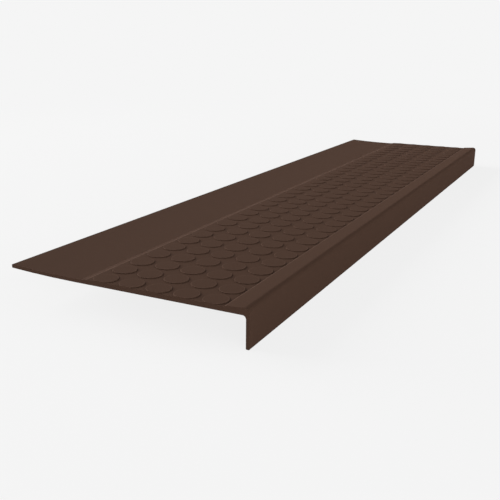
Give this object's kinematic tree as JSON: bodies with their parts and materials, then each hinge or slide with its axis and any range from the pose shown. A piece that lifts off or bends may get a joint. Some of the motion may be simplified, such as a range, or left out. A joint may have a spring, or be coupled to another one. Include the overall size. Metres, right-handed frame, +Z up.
{
  "type": "rubber stair tread",
  "caption": "Moulded rubber stair tread with a square nose, a field of raised round discs for grip and a thin smooth rear band.",
  "frame": {"origin": "middle of the length and of the depth, level with the foot of the nose", "axes": "+X along the step, -Y out of the nose's face, +Z up out of the tread"},
  "size_m": [1.2192, 0.3112, 0.0445],
  "materials": {
    "rubber": "matte dark brown, faintly mottled"
  },
  "bodies": {
    "root": {"tread": "rubber"}
  },
  "joints": []
}
